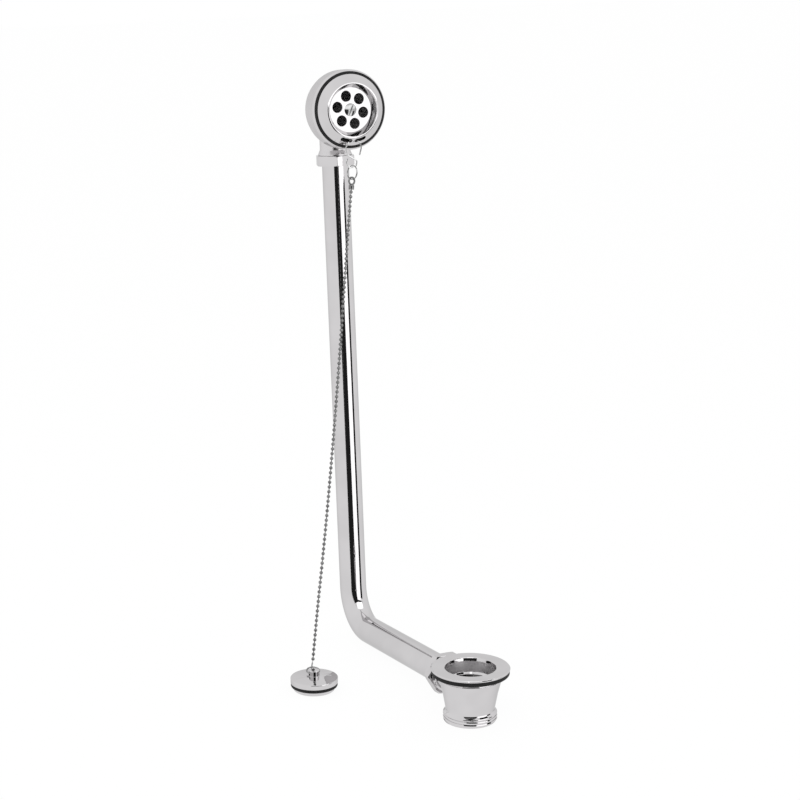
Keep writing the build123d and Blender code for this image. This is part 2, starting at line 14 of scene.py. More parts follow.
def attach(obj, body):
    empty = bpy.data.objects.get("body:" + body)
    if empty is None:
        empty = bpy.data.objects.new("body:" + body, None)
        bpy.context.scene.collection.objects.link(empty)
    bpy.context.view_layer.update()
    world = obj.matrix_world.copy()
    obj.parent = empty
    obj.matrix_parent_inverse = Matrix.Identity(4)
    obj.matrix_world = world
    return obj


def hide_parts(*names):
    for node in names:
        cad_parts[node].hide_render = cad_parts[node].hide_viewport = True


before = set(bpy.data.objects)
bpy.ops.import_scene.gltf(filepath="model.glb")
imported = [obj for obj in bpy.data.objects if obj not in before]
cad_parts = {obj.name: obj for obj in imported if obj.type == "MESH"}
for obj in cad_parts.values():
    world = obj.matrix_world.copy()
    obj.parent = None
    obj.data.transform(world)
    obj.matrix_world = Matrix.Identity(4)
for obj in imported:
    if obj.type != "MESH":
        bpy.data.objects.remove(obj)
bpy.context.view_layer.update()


# Waste body: a brass casting with a flared bell, a side socket for the overflow tube and a male outlet
# thread. The outside is polished and chromed, and the flange's tail screws into it from above.
def uneven_finish(name, metallic, scale, detail, tones, gloss, span=(0.0, 1.0)):
    """Starts a finish whose tone and gloss drift with one noise, each between its two values."""
    finish = bpy.data.materials.new(name)
    finish.use_nodes = True
    nodes = finish.node_tree.nodes
    links = finish.node_tree.links
    shader = nodes["Principled BSDF"]
    shader.inputs["Metallic"].default_value = metallic
    place = nodes.new("ShaderNodeTexCoord")
    cloud = nodes.new("ShaderNodeTexNoise")
    cloud.inputs["Scale"].default_value = scale
    cloud.inputs["Detail"].default_value = detail
    tone = nodes.new("ShaderNodeValToRGB")
    for stop, (position, colour) in zip(tone.color_ramp.elements, tones):
        stop.position = position
        stop.color = (*colour, 1.0)
    polish = nodes.new("ShaderNodeMapRange")
    polish.inputs["From Min"].default_value = span[0]
    polish.inputs["From Max"].default_value = span[1]
    polish.inputs["To Min"].default_value = gloss[0]
    polish.inputs["To Max"].default_value = gloss[1]
    links.new(place.outputs["Object"], cloud.inputs["Vector"])
    links.new(cloud.outputs["Fac"], tone.inputs["Fac"])
    links.new(tone.outputs["Color"], shader.inputs["Base Color"])
    links.new(cloud.outputs["Fac"], polish.inputs["Value"])
    links.new(polish.outputs["Result"], shader.inputs["Roughness"])
    return finish


def grained(finish, scale, detail, strength, depth):
    """Gives a finish a fine relief."""
    nodes = finish.node_tree.nodes
    links = finish.node_tree.links
    place = nodes.new("ShaderNodeTexCoord")
    grain = nodes.new("ShaderNodeTexNoise")
    grain.inputs["Scale"].default_value = scale
    grain.inputs["Detail"].default_value = detail
    relief = nodes.new("ShaderNodeBump")
    relief.inputs["Strength"].default_value = strength
    relief.inputs["Distance"].default_value = depth
    links.new(place.outputs["Object"], grain.inputs["Vector"])
    links.new(grain.outputs["Fac"], relief.inputs["Height"])
    links.new(relief.outputs["Normal"], nodes["Principled BSDF"].inputs["Normal"])


def chrome_plate(name, dull):
    """Chrome over brass, with a faint unevenness left by the polishing wheel, from bright to satin."""
    finish = uneven_finish(
        name,
        metallic=1.0,
        scale=35.0,
        detail=2.0,
        tones=((0.35, (0.600, 0.588, 0.596)), (0.65, (0.640, 0.628, 0.636))),
        gloss=(0.02 + dull, 0.05 + dull),
        span=(0.3, 0.7),
    )
    shader = finish.node_tree.nodes["Principled BSDF"]
    shader.inputs["Specular Tint"].default_value = (0.72, 0.72, 0.72, 1.0)
    grained(finish, scale=420.0, detail=2.0, strength=0.02, depth=0.0004)
    return finish


def raw_casting_with_painted_shade():
    """The rough inside of a casting, which polishing and plating hardly reach. Its dark grey is painted
    shade in place of the brass, which lies in shadow there.
    """
    finish = uneven_finish(
        "raw_casting_with_painted_shade",
        metallic=0.4,
        scale=300.0,
        detail=5.0,
        # These dark greys are painted shade inside the hollows, not the colour of the brass.
        tones=((0.3, (0.260, 0.256, 0.258)), (0.7, (0.440, 0.434, 0.437))),
        gloss=(0.45, 0.7),
    )
    grained(finish, scale=300.0, detail=5.0, strength=0.3, depth=0.0006)
    return finish


millimetre = 0.001


def placed(origin, across, along):
    """Gives the place of a piece drawn in millimetres, with its x across and its z along."""
    turn = Matrix((across, along.cross(across), along)).transposed().to_4x4()
    return Matrix.Scale(millimetre, 4) @ Matrix.Translation(origin) @ turn


def rounded(corners):
    """Follows the corners of an outline, each of which ends in the radius of the arc that eases it."""
    arc_step = radians(11)
    lead = 0.04
    points = []
    for index, corner in enumerate(corners):
        here = Vector(corner[:-1])
        ease = corner[-1]
        if ease == 0:
            points.append(here)
            continue
        back = (Vector(corners[index - 1][:-1]) - here).normalized()
        ahead = (Vector(corners[(index + 1) % len(corners)][:-1]) - here).normalized()
        half = back.angle(ahead) / 2
        centre = here + (back + ahead).normalized() * (ease / sin(half))
        start = here + back * (ease / tan(half))
        end = here + ahead * (ease / tan(half))
        sweep = pi - 2 * half
        count = max(3, round(sweep / arc_step))
        points.append(start + back * lead)
        for step in range(count + 1):
            swept_so_far = sweep * step / count
            reach = (start - centre) * sin(sweep - swept_so_far) + (end - centre) * sin(swept_so_far)
            points.append(centre + reach / sin(sweep))
        points.append(end + ahead * lead)
    return points


def turned(outline, place, steps=160):
    """Turns an outline of radii and heights about the z axis of its place into a closed shell."""
    on_axis = 0.001
    shell = bmesh.new()
    rings = []
    for radius, height in outline:
        if radius < on_axis:
            rings.append([shell.verts.new(place @ Vector((0, 0, height)))] * steps)
            continue
        ring = []
        for step in range(steps):
            angle = 2 * pi * step / steps
            spot = Vector((radius * cos(angle), radius * sin(angle), height))
            ring.append(shell.verts.new(place @ spot))
        rings.append(ring)
    for ring, following in zip(rings, rings[1:] + rings[:1]):
        for step in range(steps):
            after = (step + 1) % steps
            corners = list(dict.fromkeys((ring[step], ring[after], following[after], following[step])))
            if len(corners) > 2:
                shell.faces.new(corners)
    return shell


def made(name, shell, finish):
    """Makes a shell into a piece with its faces outward."""
    bmesh.ops.recalc_face_normals(shell, faces=shell.faces)
    mesh = bpy.data.meshes.new(name)
    shell.to_mesh(mesh)
    shell.free()
    mesh.materials.append(finish)
    piece = bpy.data.objects.new(name, mesh)
    bpy.context.collection.objects.link(piece)
    return piece


def settled(piece):
    """Makes what a piece's modifiers give its plain mesh."""
    view = bpy.context.evaluated_depsgraph_get()
    mesh = bpy.data.meshes.new_from_object(piece.evaluated_get(view))
    piece.modifiers.clear()
    piece.data = mesh


def worked(piece, tool, way):
    """Joins a second solid to a piece, or cuts it away and leaves the finish of the tool."""
    work = piece.modifiers.new("work", "BOOLEAN")
    work.object = tool
    work.operation = way
    work.solver = "EXACT"
    work.material_mode = "TRANSFER"
    settled(piece)
    bpy.data.objects.remove(tool)


def smoothed(piece, edge):
    """Shades a piece smooth between its edges, which turn by more than a given angle in degrees."""
    for face in piece.data.polygons:
        face.use_smooth = True
    piece.data.set_sharp_from_angle(angle=radians(edge))


def fitted(piece, slot, *nodes):
    """Shades a finished piece, and sets it in the place of its CAD nodes."""
    smoothed(piece, edge=28)
    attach(piece, "root")
    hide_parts(*nodes)


chrome = chrome_plate("bright_chrome", dull=0.0)
# The insides of the castings get a dark grey that is painted shade.
raw_with_painted_shade = raw_casting_with_painted_shade()
tilt = radians(4.9)
side_way = Vector((1, 0, 0))
up_way = Vector((0, 0, 1))
arm_way = Vector((0, cos(tilt), -sin(tilt)))
arm_start = Vector((0, 0, -16.8))
upright = placed(Vector((0, 0, 0)), side_way, up_way)
along_arm = placed(arm_start, side_way, arm_way)

bell_outline = rounded([
    (0, -4.0, 0),
    (28.5, -4.0, 0.3),
    (28.4, -6.6, 0.2),
    (27.6, -6.8, 0),
    (27.6, -7.4, 0),
    (28.1, -7.7, 0.2),
    (24.5, -21.5, 30.0),
    (21.6, -37.2, 1.6),
    (23.8, -39.2, 0.9),
    (23.8, -40.2, 0.35),
    (22.9, -40.5, 0.1),
    (22.9, -47.2, 0.5),
    (0, -47.2, 0),
])
waste_body = made("waste_bell", turned(bell_outline, upright), chrome)
neck_outline = rounded([
    (0, 20.6, 0),
    (14.0, 20.6, 0),
    (14.0, 41.4, 0.8),
    (15.75, 42.1, 0.3),
    (15.75, 43.3, 0.3),
    (15.05, 43.3, 0),
    (15.05, 48.3, 0.3),
    (0, 48.3, 0),
])
worked(waste_body, made("waste_neck", turned(neck_outline, along_arm, steps=128), chrome), "UNION")
bore_outline = [
    (0, -3.0),
    (24.0, -3.0),
    (24.0, -13.5),
    (20.6, -13.5),
    (19.0, -37.2),
    (19.0, -48.0),
    (0, -48.0),
]
worked(waste_body, made("waste_bore", turned(bore_outline, upright), raw_with_painted_shade), "DIFFERENCE")
port_outline = [(0, 0), (11.7, 0), (11.7, 33.3), (12.85, 33.3), (12.85, 49.0), (0, 49.0)]
worked(waste_body, made("waste_port", turned(port_outline, along_arm, steps=128), raw_with_painted_shade), "DIFFERENCE")
fitted(waste_body, "chrome", "waste_body")


# Outlet thread: the pipe thread cut on the foot of the waste body, which takes the trap's union nut.
# It is one ridge that winds down the outlet and runs out at both ends, chromed with the body.
def thread_tree():
    """A ridge that winds about the z axis, with its radius, height, turns and thickness as inputs."""
    thin_end = (0.15, 0.15, 0.15, 1.0)
    full_ridge = (1.0, 1.0, 1.0, 1.0)
    full_from = 0.08
    full_to = 0.92
    tree = bpy.data.node_groups.new("outlet_thread", "GeometryNodeTree")
    tree.interface.new_socket("Geometry", in_out="INPUT", socket_type="NodeSocketGeometry")
    for label in ("Radius", "Height", "Turns", "Ridge"):
        tree.interface.new_socket(label, in_out="INPUT", socket_type="NodeSocketFloat")
    tree.interface.new_socket("Finish", in_out="INPUT", socket_type="NodeSocketMaterial")
    tree.interface.new_socket("Geometry", in_out="OUTPUT", socket_type="NodeSocketGeometry")
    nodes = tree.nodes
    links = tree.links
    start = nodes.new("NodeGroupInput")
    end = nodes.new("NodeGroupOutput")
    spiral = nodes.new("GeometryNodeCurveSpiral")
    spiral.inputs["Resolution"].default_value = 96
    links.new(start.outputs["Turns"], spiral.inputs["Rotations"])
    links.new(start.outputs["Radius"], spiral.inputs["Start Radius"])
    links.new(start.outputs["Radius"], spiral.inputs["End Radius"])
    links.new(start.outputs["Height"], spiral.inputs["Height"])
    along = nodes.new("GeometryNodeSplineParameter")
    run_out = nodes.new("ShaderNodeValToRGB")
    stops = run_out.color_ramp.elements
    stops[0].color = thin_end
    stops[1].color = thin_end
    for position in (full_from, full_to):
        stops.new(position).color = full_ridge
    links.new(along.outputs["Factor"], run_out.inputs["Fac"])
    thin = nodes.new("GeometryNodeSetCurveRadius")
    links.new(spiral.outputs["Curve"], thin.inputs["Curve"])
    links.new(run_out.outputs["Color"], thin.inputs["Radius"])
    section = nodes.new("GeometryNodeCurvePrimitiveCircle")
    section.inputs["Resolution"].default_value = 6
    links.new(start.outputs["Ridge"], section.inputs["Radius"])
    sweep = nodes.new("GeometryNodeCurveToMesh")
    sweep.inputs["Fill Caps"].default_value = True
    links.new(thin.outputs["Curve"], sweep.inputs["Curve"])
    links.new(run_out.outputs["Color"], sweep.inputs["Scale"])
    links.new(section.outputs["Curve"], sweep.inputs["Profile Curve"])
    whole = nodes.new("GeometryNodeRealizeInstances")
    links.new(sweep.outputs["Mesh"], whole.inputs["Geometry"])
    finish = nodes.new("GeometryNodeSetMaterial")
    links.new(whole.outputs["Geometry"], finish.inputs["Geometry"])
    links.new(start.outputs["Finish"], finish.inputs["Material"])
    links.new(finish.outputs["Geometry"], end.inputs["Geometry"])
    return tree


def grown(name, tree, mesh, **sizes):
    """Runs a node tree on a mesh with its inputs set, and makes the result a piece."""
    piece = bpy.data.objects.new(name, mesh)
    bpy.context.collection.objects.link(piece)
    growth = piece.modifiers.new("growth", "NODES")
    growth.node_group = tree
    for socket in tree.interface.items_tree:
        if socket.in_out == "INPUT" and socket.name in sizes:
            growth[socket.identifier] = sizes[socket.name]
    settled(piece)
    return piece


thread = grown(
    "outlet_thread_ridge",
    thread_tree(),
    bpy.data.meshes.new("outlet_thread_ridge"),
    Radius=0.02305,
    Height=0.0060,
    Turns=2.35,
    Ridge=0.00085,
    Finish=chrome,
)
thread_foot = -0.0468
thread_start = radians(190)
thread.data.transform(Matrix.Translation((0, 0, thread_foot)) @ Matrix.Rotation(thread_start, 4, "Z"))
smoothed(thread, edge=50)
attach(thread, "root")


# Waste seal: a ring of black rubber between the bell's rim and the underside of the bath.
# It is cut from sheet and squeezed slightly when the flange is screwed down.
def black_rubber():
    """Matt black rubber with a fine mould grain and a little bloom."""
    finish = uneven_finish(
        "black_rubber",
        metallic=0.0,
        scale=90.0,
        detail=4.0,
        tones=((0.35, (0.008, 0.008, 0.008)), (0.7, (0.016, 0.016, 0.017))),
        gloss=(0.5, 0.75),
    )
    finish.node_tree.nodes["Principled BSDF"].inputs["Specular IOR Level"].default_value = 0.2
    grained(finish, scale=1500.0, detail=2.0, strength=0.2, depth=0.0003)
    return finish


rubber = black_rubber()
waste_seal_outline = rounded([
    (24.2, -4.0, 0),
    (34.5, -4.0, 0.7),
    (34.5, 0, 0.7),
    (24.2, 0, 0),
])
waste_seal = made("waste_rubber_ring", turned(waste_seal_outline, upright), rubber)
fitted(waste_seal, "rubber", "waste_seal")


# Waste flange: turned and chromed brass with a flat rim, an eased lip round the tapered plug seat, and a
# tail that screws into the bell and draws the bath between the flange and the seal.
flange_outline = rounded([
    (22.0, -1.3, 0.3),
    (22.6, 1.1, 0),
    (23.0, 1.5, 0.35),
    (34.25, 1.5, 0.5),
    (35.0, 0.75, 0.15),
    (34.85, 0, 0.1),
    (23.9, 0, 0),
    (23.9, -13.2, 0),
    (18.5, -13.2, 0.4),
    (20.6, -11.0, 0.4),
])
waste_flange = made("waste_flange_ring", turned(flange_outline, upright, steps=192), chrome)
waste_flange.data.materials.append(chrome_plate("turned_bore", dull=0.38))
seat_inside = 0.0204
seat_outside = 0.0221
seat_foot = -0.0109
seat_top = -0.0012
for face in waste_flange.data.polygons:
    if seat_inside < face.center.xy.length < seat_outside and seat_foot < face.center.z < seat_top:
        face.material_index = 1
fitted(waste_flange, "chrome", "waste_flange")


# Overflow tube: thin brass tube, bent once cold and chromed. Its foot slides into the waste's socket
# and its head into the overflow's spigot.
def swept(middle, sides, radius, wall):
    """Draws a tube of a given wall along the points and directions of its middle line."""
    shell = bmesh.new()
    rings = []
    for reach in (radius, radius - wall):
        for origin, way in middle:
            place = placed(origin, side_way, way)
            ring = []
            for step in range(sides):
                angle = 2 * pi * step / sides
                spot = Vector((reach * cos(angle), reach * sin(angle), 0))
                ring.append(shell.verts.new(place @ spot))
            rings.append(ring)
    outer = rings[:len(middle)]
    inner = rings[len(middle):]
    loop = outer + inner[::-1]
    for ring, following in zip(loop, loop[1:] + loop[:1]):
        for step in range(sides):
            after = (step + 1) % sides
            shell.faces.new((ring[step], ring[after], following[after], following[step]))
    return shell


riser_way = Vector((0, sin(tilt), cos(tilt)))
arm_length = 245.0
riser_length = 496.0
tube_radius = 12.7
tube_wall = 1.0
tube_foot = 33.6
tube_head = 33.7
bend_radius = 36.0
bend_steps = 28
bend_lead = 0.1
bend_corner = arm_start + arm_way * arm_length
head = bend_corner + riser_way * riser_length
bend_centre = bend_corner - arm_way * bend_radius + riser_way * bend_radius
tube_middle = [(arm_start + arm_way * tube_foot, arm_way)]
tube_middle.append((bend_corner - arm_way * (bend_radius + bend_lead), arm_way))
for step in range(bend_steps + 1):
    angle = pi / 2 * step / bend_steps
    outward = arm_way * sin(angle) - riser_way * cos(angle)
    onward = arm_way * cos(angle) + riser_way * sin(angle)
    tube_middle.append((bend_centre + outward * bend_radius, onward))
tube_middle.append((bend_corner + riser_way * (bend_radius + bend_lead), riser_way))
tube_middle.append((head - riser_way * tube_head, riser_way))
tube = made("bent_tube", swept(tube_middle, sides=96, radius=tube_radius, wall=tube_wall), chrome)
fitted(tube, "chrome", "overflow_tube")


# Compression joints: a chromed hexagon nut at each end squeezes a rubber ring against the tube, with a
# brass slip washer between them. Only the nuts show; the rings and washers keep their CAD solids.
def plain_brass():
    """Turned brass, dulled a little and unevenly."""
    return uneven_finish(
        "plain_brass",
        metallic=1.0,
        scale=120.0,
        detail=2.0,
        tones=((0.0, (0.55, 0.40, 0.18)), (1.0, (0.76, 0.60, 0.32))),
        gloss=(0.2, 0.4),
    )


def hexagon_nut(place, turn):
    """A nut with slightly crowned sides, eased and coned corners, and a lip that closes on the tube."""
    half_width = 17.0
    crown = 0.2
    corner_ease = 0.9
    face_radius = 18.24
    back = -5.0
    front = 4.5
    bore = 15.15
    lip_bore = 12.85
    lip = 1.7
    edge = 0.25
    bore_edge = 0.3
    ease_reach = (half_width - corner_ease) / cos(pi / 6)
    ease_angle = atan2(corner_ease / 2, ease_reach + corner_ease * cos(pi / 6))
    side_degrees = (3.5, 6, 9, 12.5, 16, 20, 25, 30, 35, 40, 44, 47.5, 51, 54, 56.5)
    angles = [-ease_angle, -ease_angle / 2, 0, ease_angle / 2, ease_angle]
    angles += [radians(degree) for degree in side_degrees]
    shell = bmesh.new()
    columns = []
    for side in range(6):
        for angle in angles:
            from_corner = min(abs(angle), abs(pi / 3 - angle))
            from_middle = pi / 6 - from_corner
            across = tan(from_middle) / tan(pi / 6 - ease_angle)
            reach = half_width / cos(from_middle) + crown * (1 - across ** 2)
            if from_corner < ease_angle:
                reach = ease_reach * cos(from_corner)
                reach += sqrt(corner_ease ** 2 - (ease_reach * sin(from_corner)) ** 2)
            flat_reach = min(reach, face_radius)
            cone = (reach - flat_reach) * tan(pi / 6)
            way = angle + side * pi / 3 + radians(turn)
            profile = (
                (bore, back + bore_edge),
                (bore + bore_edge, back),
                (flat_reach - edge, back),
                (flat_reach, back + edge),
                (reach, back + edge + cone),
                (reach, front - edge - cone),
                (flat_reach, front - edge),
                (flat_reach - edge, front),
                (lip_bore + bore_edge, front),
                (lip_bore, front - bore_edge),
                (lip_bore, front - lip),
                (bore, front - lip),
            )
            column = []
            for radius, height in profile:
                spot = Vector((radius * cos(way), radius * sin(way), height))
                column.append(shell.verts.new(place @ spot))
            columns.append(column)
    for column, following in zip(columns, columns[1:] + columns[:1]):
        for low in range(len(column)):
            high = (low + 1) % len(column)
            shell.faces.new((column[low], column[high], following[high], following[low]))
    bmesh.ops.remove_doubles(shell, verts=shell.verts, dist=1e-6)
    return shell


def coated(node, finish):
    """Puts a finish on a CAD solid that keeps its shape."""
    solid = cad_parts[node]
    solid.data.materials.clear()
    solid.data.materials.append(finish)


brass = plain_brass()
socket_end = 48.3
spigot_end = 48.4
waste_joint = placed(arm_start + arm_way * socket_end, side_way, arm_way)
overflow_joint = placed(head - riser_way * spigot_end, side_way, -riser_way)
for end, joint, turn in (("waste", waste_joint, 0.0), ("overflow", overflow_joint, 48.0)):
    nut = made(end + "_hexagon_nut", hexagon_nut(joint, turn), chrome)
    fitted(nut, "chrome", end + "_nut")
    coated(end + "_compression_ring", rubber)
    coated(end + "_slip_washer", brass)


# Overflow body: a brass cup cast with a coned back, a stepped rim, a spigot below for the tube and a
# boss inside for the face's screw. It is chromed outside and stands behind the bath wall.
face_way = -arm_way
facing = placed(head, side_way, face_way)
hanging = placed(head, side_way, -riser_way)
satin = chrome_plate("satin_chrome", dull=0.17)
cup_outline = rounded([
    (0, -14.4, 0),
    (13.4, -14.4, 1.5),
    (16.6, -11.2, 1.5),
    (33.5, 12.0, 6.0),
    (36.3, 20.0, 8.0),
    (36.3, 29.2, 0.2),
    (35.7, 29.8, 0.2),
    (36.8, 30.4, 0.2),
    (36.8, 35.7, 0.7),
    (34.9, 37.6, 0.5),
    (0, 37.6, 0),
])
overflow_body = made("overflow_cup", turned(cup_outline, facing, steps=192), satin)
spigot_outline = rounded([
    (0, 0, 0),
    (14.0, 0, 0),
    (14.0, 38.2, 3.0),
    (15.75, 42.2, 0.4),
    (15.75, 43.4, 0.3),
    (15.05, 43.4, 0),
    (15.05, 48.4, 0.3),
    (0, 48.4, 0),
])
worked(overflow_body, made("overflow_spigot", turned(spigot_outline, hanging, steps=128), satin), "UNION")
hollow_outline = [(0, 38.5), (33.3, 38.5), (33.3, 16.0), (13.5, -11.4), (0, -11.4)]
worked(overflow_body, made("overflow_hollow", turned(hollow_outline, facing), raw_with_painted_shade), "DIFFERENCE")
passage_outline = [(0, 0), (11.7, 0), (11.7, 33.4), (12.85, 33.4), (12.85, 49.0), (0, 49.0)]
passage = made("overflow_passage", turned(passage_outline, hanging, steps=128), raw_with_painted_shade)
worked(overflow_body, passage, "DIFFERENCE")
boss_outline = [(0, -12.9), (5.5, -12.9), (5.5, 30.4), (5.0, 30.9), (0, 30.9)]
worked(overflow_body, made("overflow_boss", turned(boss_outline, facing, steps=64), raw_with_painted_shade), "UNION")
drill_outline = [(0, 12.3), (3.1, 12.3), (3.1, 32.0), (0, 32.0)]
worked(overflow_body, made("overflow_drill", turned(drill_outline, facing, steps=64), raw_with_painted_shade), "DIFFERENCE")
fitted(overflow_body, "chrome", "overflow_body")


# Overflow seal: a flat ring of black rubber on the cup's rim, which the face squeezes against the
# bath wall. It stands a little proud of the face all round.
overflow_seal_outline = rounded([
    (25.45, 37.6, 0),
    (34.9, 37.6, 0),
    (35.2, 37.3, 0.1),
    (35.2, 38.5, 0.3),
    (25.45, 38.5, 0),
])
overflow_seal = made("overflow_rubber_ring", turned(overflow_seal_outline, facing, steps=192), rubber)
fitted(overflow_seal, "rubber", "overflow_seal")


# Overflow face: brass sheet pressed to a coned ring with a rolled mouth, dished to a flat grid that is
# punched with six holes. Two slots below take the chain's hook, and the whole is chromed.
def meshed(name, curve):
    """Gives the mesh that a curve draws."""
    drawn = bpy.data.objects.new(name, curve)
    bpy.context.collection.objects.link(drawn)
    view = bpy.context.evaluated_depsgraph_get()
    mesh = bpy.data.meshes.new_from_object(drawn.evaluated_get(view))
    bpy.data.objects.remove(drawn)
    return mesh


def punched(name, rims, thick, ease, place, finish):
    """A flat plate between closed rims, the first outermost, with eased edges."""
    plate = bpy.data.curves.new(name, "CURVE")
    plate.dimensions = "2D"
    plate.fill_mode = "BOTH"
    plate.extrude = thick / 2 - ease
    plate.bevel_depth = ease
    plate.bevel_resolution = 0
    plate.offset = -ease
    for rim in rims:
        spline = plate.splines.new("POLY")
        spline.points.add(len(rim) - 1)
        for point, (x, y) in zip(spline.points, rim):
            point.co = (x, y, 0, 1)
        spline.use_cyclic_u = True
    shell = bmesh.new()
    shell.from_mesh(meshed(name, plate))
    bmesh.ops.transform(shell, matrix=place, verts=shell.verts)
    bmesh.ops.remove_doubles(shell, verts=shell.verts, dist=1e-7)
    return made(name, shell, finish)


def round_rim(x, y, radius, steps):
    """The points of a round rim."""
    rim = []
    for step in range(steps):
        angle = 2 * pi * step / steps
        rim.append((x + radius * cos(angle), y + radius * sin(angle)))
    return rim


ring_outline = rounded([
    (20.5, 39.3, 0),
    (23.7, 45.4, 0.5),
    (24.2, 46.1, 0.3),
    (25.4, 46.1, 2.4),
    (32.7, 39.2, 0.4),
    (32.7, 38.5, 0),
    (31.3, 38.5, 0),
    (25.4, 43.9, 0.3),
    (21.9, 37.9, 0.3),
    (20.3, 37.9, 0),
    (20.3, 38.9, 0),
])
overflow_face = made("overflow_face_ring", turned(ring_outline, facing, steps=192), chrome)
overflow_face.data.materials.append(chrome_plate("drawn_wall", dull=0.06))
wall_outside = 23.9
wall_foot = 39.2
wall_top = 45.5
from_head = facing.inverted()
for face in overflow_face.data.polygons:
    spot = from_head @ face.center
    if spot.xy.length < wall_outside and wall_foot < spot.z < wall_top:
        face.material_index = 1

slot_radius = 28.2
slot_half = 1.6
slot_start = 5.69
slot_sweep = 17.31
slot_steps = 16
slot_foot = 36.0
slot_top = 48.0
round_steps = 8
bulges = [pi * step / round_steps for step in range(1, round_steps)]
for side in (-1, 1):
    angles = []
    for step in range(slot_steps + 1):
        angles.append(radians(270 + side * (slot_start + slot_sweep * step / slot_steps)))
    rim = [(slot_radius - slot_half, angle) for angle in angles]
    for bulge in bulges:
        past = side * slot_half * sin(bulge) / slot_radius
        rim.append((slot_radius - slot_half * cos(bulge), angles[-1] + past))
    rim += [(slot_radius + slot_half, angle) for angle in reversed(angles)]
    for bulge in bulges:
        past = side * slot_half * sin(bulge) / slot_radius
        rim.append((slot_radius + slot_half * cos(bulge), angles[0] - past))
    punch = bmesh.new()
    low = []
    high = []
    for radius, angle in rim:
        x = radius * cos(angle)
        y = radius * sin(angle)
        low.append(punch.verts.new(facing @ Vector((x, y, slot_foot))))
        high.append(punch.verts.new(facing @ Vector((x, y, slot_top))))
    punch.faces.new(low)
    punch.faces.new(high)
    for step in range(len(rim)):
        after = (step + 1) % len(rim)
        punch.faces.new((low[step], low[after], high[after], high[step]))
    worked(overflow_face, made("slot_punch", punch, chrome), "DIFFERENCE")

hole_circle = 13.2
hole_radius = 4.95
first_hole = 107
grid_middle = 38.6
grid_rims = [round_rim(0, 0, radius=21.0, steps=160), round_rim(0, 0, radius=5.6, steps=64)]
for hole in range(6):
    angle = radians(first_hole + 60 * hole)
    x = hole_circle * cos(angle)
    y = hole_circle * sin(angle)
    grid_rims.append(round_rim(x, y, radius=hole_radius, steps=64))
grid_place = facing @ Matrix.Translation((0, 0, grid_middle))
grid = punched("overflow_grid", grid_rims, thick=1.4, ease=0.25, place=grid_place, finish=chrome)
fitted(overflow_face, "chrome", "overflow_face")
fitted(grid, "chrome", "overflow_face")


# Overflow screw: a slotted screw with a raised head that sits in the grid's countersink and pulls the
# face to the boss in the cup. Plated brass, greyer than the chrome round it.
def grey_plate(name, low, high, dull):
    """Thin plating, slightly uneven, from a low to a high grey."""
    finish = uneven_finish(
        name,
        metallic=1.0,
        scale=260.0,
        detail=2.0,
        tones=((0.3, (low, low, low)), (0.7, (high, high, high))),
        gloss=(dull, dull + 0.12),
    )
    shader = finish.node_tree.nodes["Principled BSDF"]
    shader.inputs["Specular Tint"].default_value = (0.35, 0.35, 0.35, 1.0)
    return finish


screw_finish = grey_plate("screw_plate", low=0.34, high=0.46, dull=0.1)
screw_top = 40.7
dome_radius = 13.6
dome_edge = 27
screw_outline = []
for degree in range(0, dome_edge + 1, 3):
    drop = dome_radius * (1 - cos(radians(degree)))
    screw_outline.append((dome_radius * sin(radians(degree)), screw_top - drop))
screw_outline += [(6.2, 39.1), (3.0, 36.1), (3.0, 13.7), (2.6, 13.3), (0, 13.3)]
screw = made("overflow_slotted_screw", turned(screw_outline, facing, steps=96), screw_finish)
blade_turn = radians(65)
blade_length = 20.0
blade_width = 1.7
blade_depth = 1.8
blade_place = facing @ Matrix.Rotation(blade_turn, 4, "Z") @ Matrix.Translation((0, 0, screw_top))
blade_size = Matrix.Diagonal((blade_length, blade_width, blade_depth * 2, 1.0))
blade = bmesh.new()
bmesh.ops.create_cube(blade, size=1.0, matrix=blade_place @ blade_size)
worked(screw, made("screw_slot", blade, screw_finish), "DIFFERENCE")
fitted(screw, "chrome", "overflow_screw")


# Chain hook: one length of plated wire, bent behind the bridge between the face's slots and curled
# below it into the eye that carries the chain.
def bent_wire(name, points, closed, radius, finish):
    """Draws round wire of a radius in metres along points in metres, as a loop or with closed ends."""
    line = bpy.data.curves.new(name, "CURVE")
    line.dimensions = "3D"
    line.bevel_depth = radius
    line.bevel_resolution = 4
    line.use_fill_caps = True
    spline = line.splines.new("POLY")
    spline.points.add(len(points) - 1)
    for point, spot in zip(spline.points, points):
        point.co = (*spot, 1)
    spline.use_cyclic_u = closed
    shell = bmesh.new()
    shell.from_mesh(meshed(name, line))
    bmesh.ops.remove_doubles(shell, verts=shell.verts, dist=1e-7)
    return made(name, shell, finish)


wire = grey_plate("bright_wire", low=0.58, high=0.74, dull=0.12)
eye_foot = -52.3
hook_hang = 43.24
hook_before = 44.54
hook_behind = 40.06
hook_line = rounded([
    (5.9, -41.5, hook_hang - 0.8, 0),
    (7.8, -34.5, hook_hang, 6.0),
    (5.4, -29.3, hook_before, 2.0),
    (3.2, -27.9, hook_behind, 1.2),
    (-3.2, -27.9, hook_behind, 1.2),
    (-5.4, -29.3, hook_before, 2.0),
    (-9.2, -35.0, hook_hang, 6.6),
    (-6.2, -41.0, hook_hang, 7.5),
    (2.9, -46.4, hook_hang, 2.4),
    (1.2, eye_foot, hook_hang, 2.4),
    (-5.6, eye_foot, hook_hang, 2.4),
    (-8.3, -47.6, hook_hang, 2.4),
    (-6.8, -43.8, hook_hang, 0),
])
hook_points = [facing @ point for point in hook_line]
hook = bent_wire("chain_wire_hook", hook_points, closed=False, radius=0.00065, finish=wire)
fitted(hook, "steel_wire", "chain_hook")


